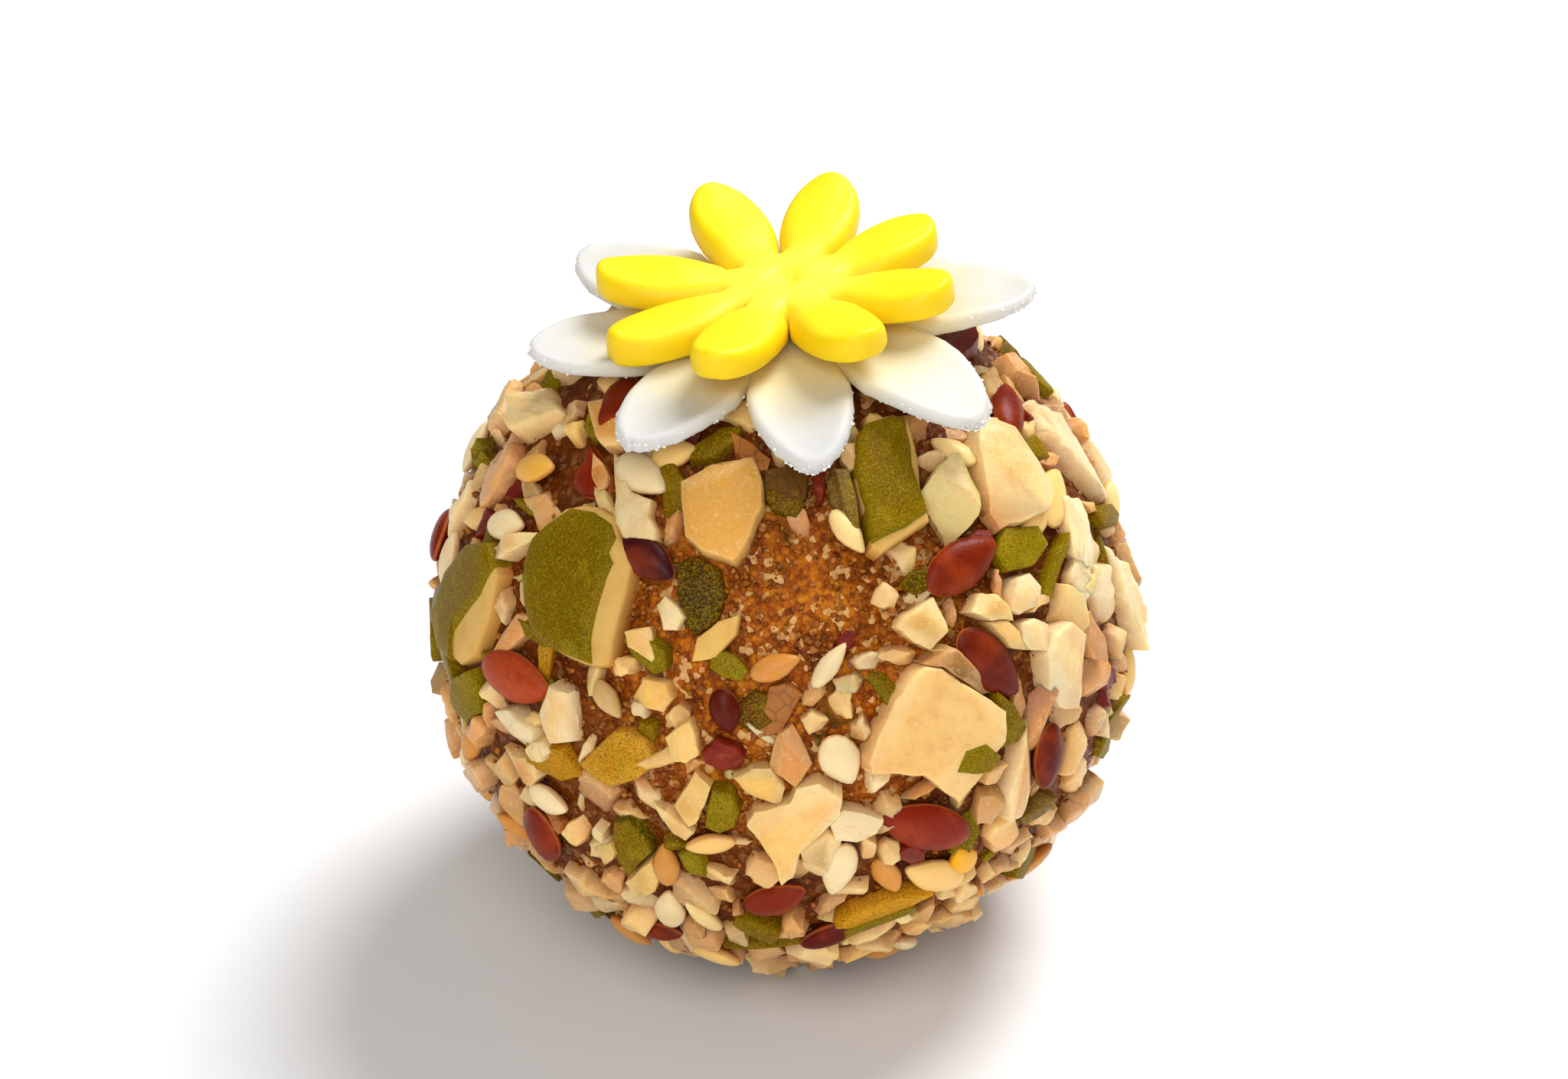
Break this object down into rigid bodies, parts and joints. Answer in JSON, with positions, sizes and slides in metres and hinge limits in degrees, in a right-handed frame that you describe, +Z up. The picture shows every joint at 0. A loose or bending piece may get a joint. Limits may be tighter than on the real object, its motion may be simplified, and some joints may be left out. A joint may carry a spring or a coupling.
{
  "type": "ladoo",
  "caption": "Round ladoo, a bound ball of ground nuts coated with chopped nuts and seeds, under a white and a yellow sugar paste flower.",
  "frame": {"origin": "middle of the flat spot that the ball rests on, at the bottom of the part", "axes": "+Z up through the ball and the flowers, -Y the side that faces the viewer, +X to the viewer's right"},
  "size_m": [0.0425, 0.0425, 0.0436],
  "materials": {
    "ladoo_core": "crumbly bound ball of ground nuts and dried fruit, slightly moist",
    "white_sugar_paste": "smooth dry white sugar paste",
    "yellow_sugar_paste": "smooth bright yellow sugar paste",
    "nut": "cut cream nut flesh, satin",
    "pumpkin_seed": "olive green seed skin with fine speckle",
    "flax_seed": "glossy red-brown seed coat",
    "sesame_seed": "hulled cream seed, satin",
    "seed_skin": "thin dry nut skin",
    "yellow_grain": "bright yellow smooth grain"
  },
  "bodies": {
    "root": {"ladoo_ball": "ladoo_core", "white_flower": "white_sugar_paste", "yellow_flower": "yellow_sugar_paste"}
  },
  "joints": []
}
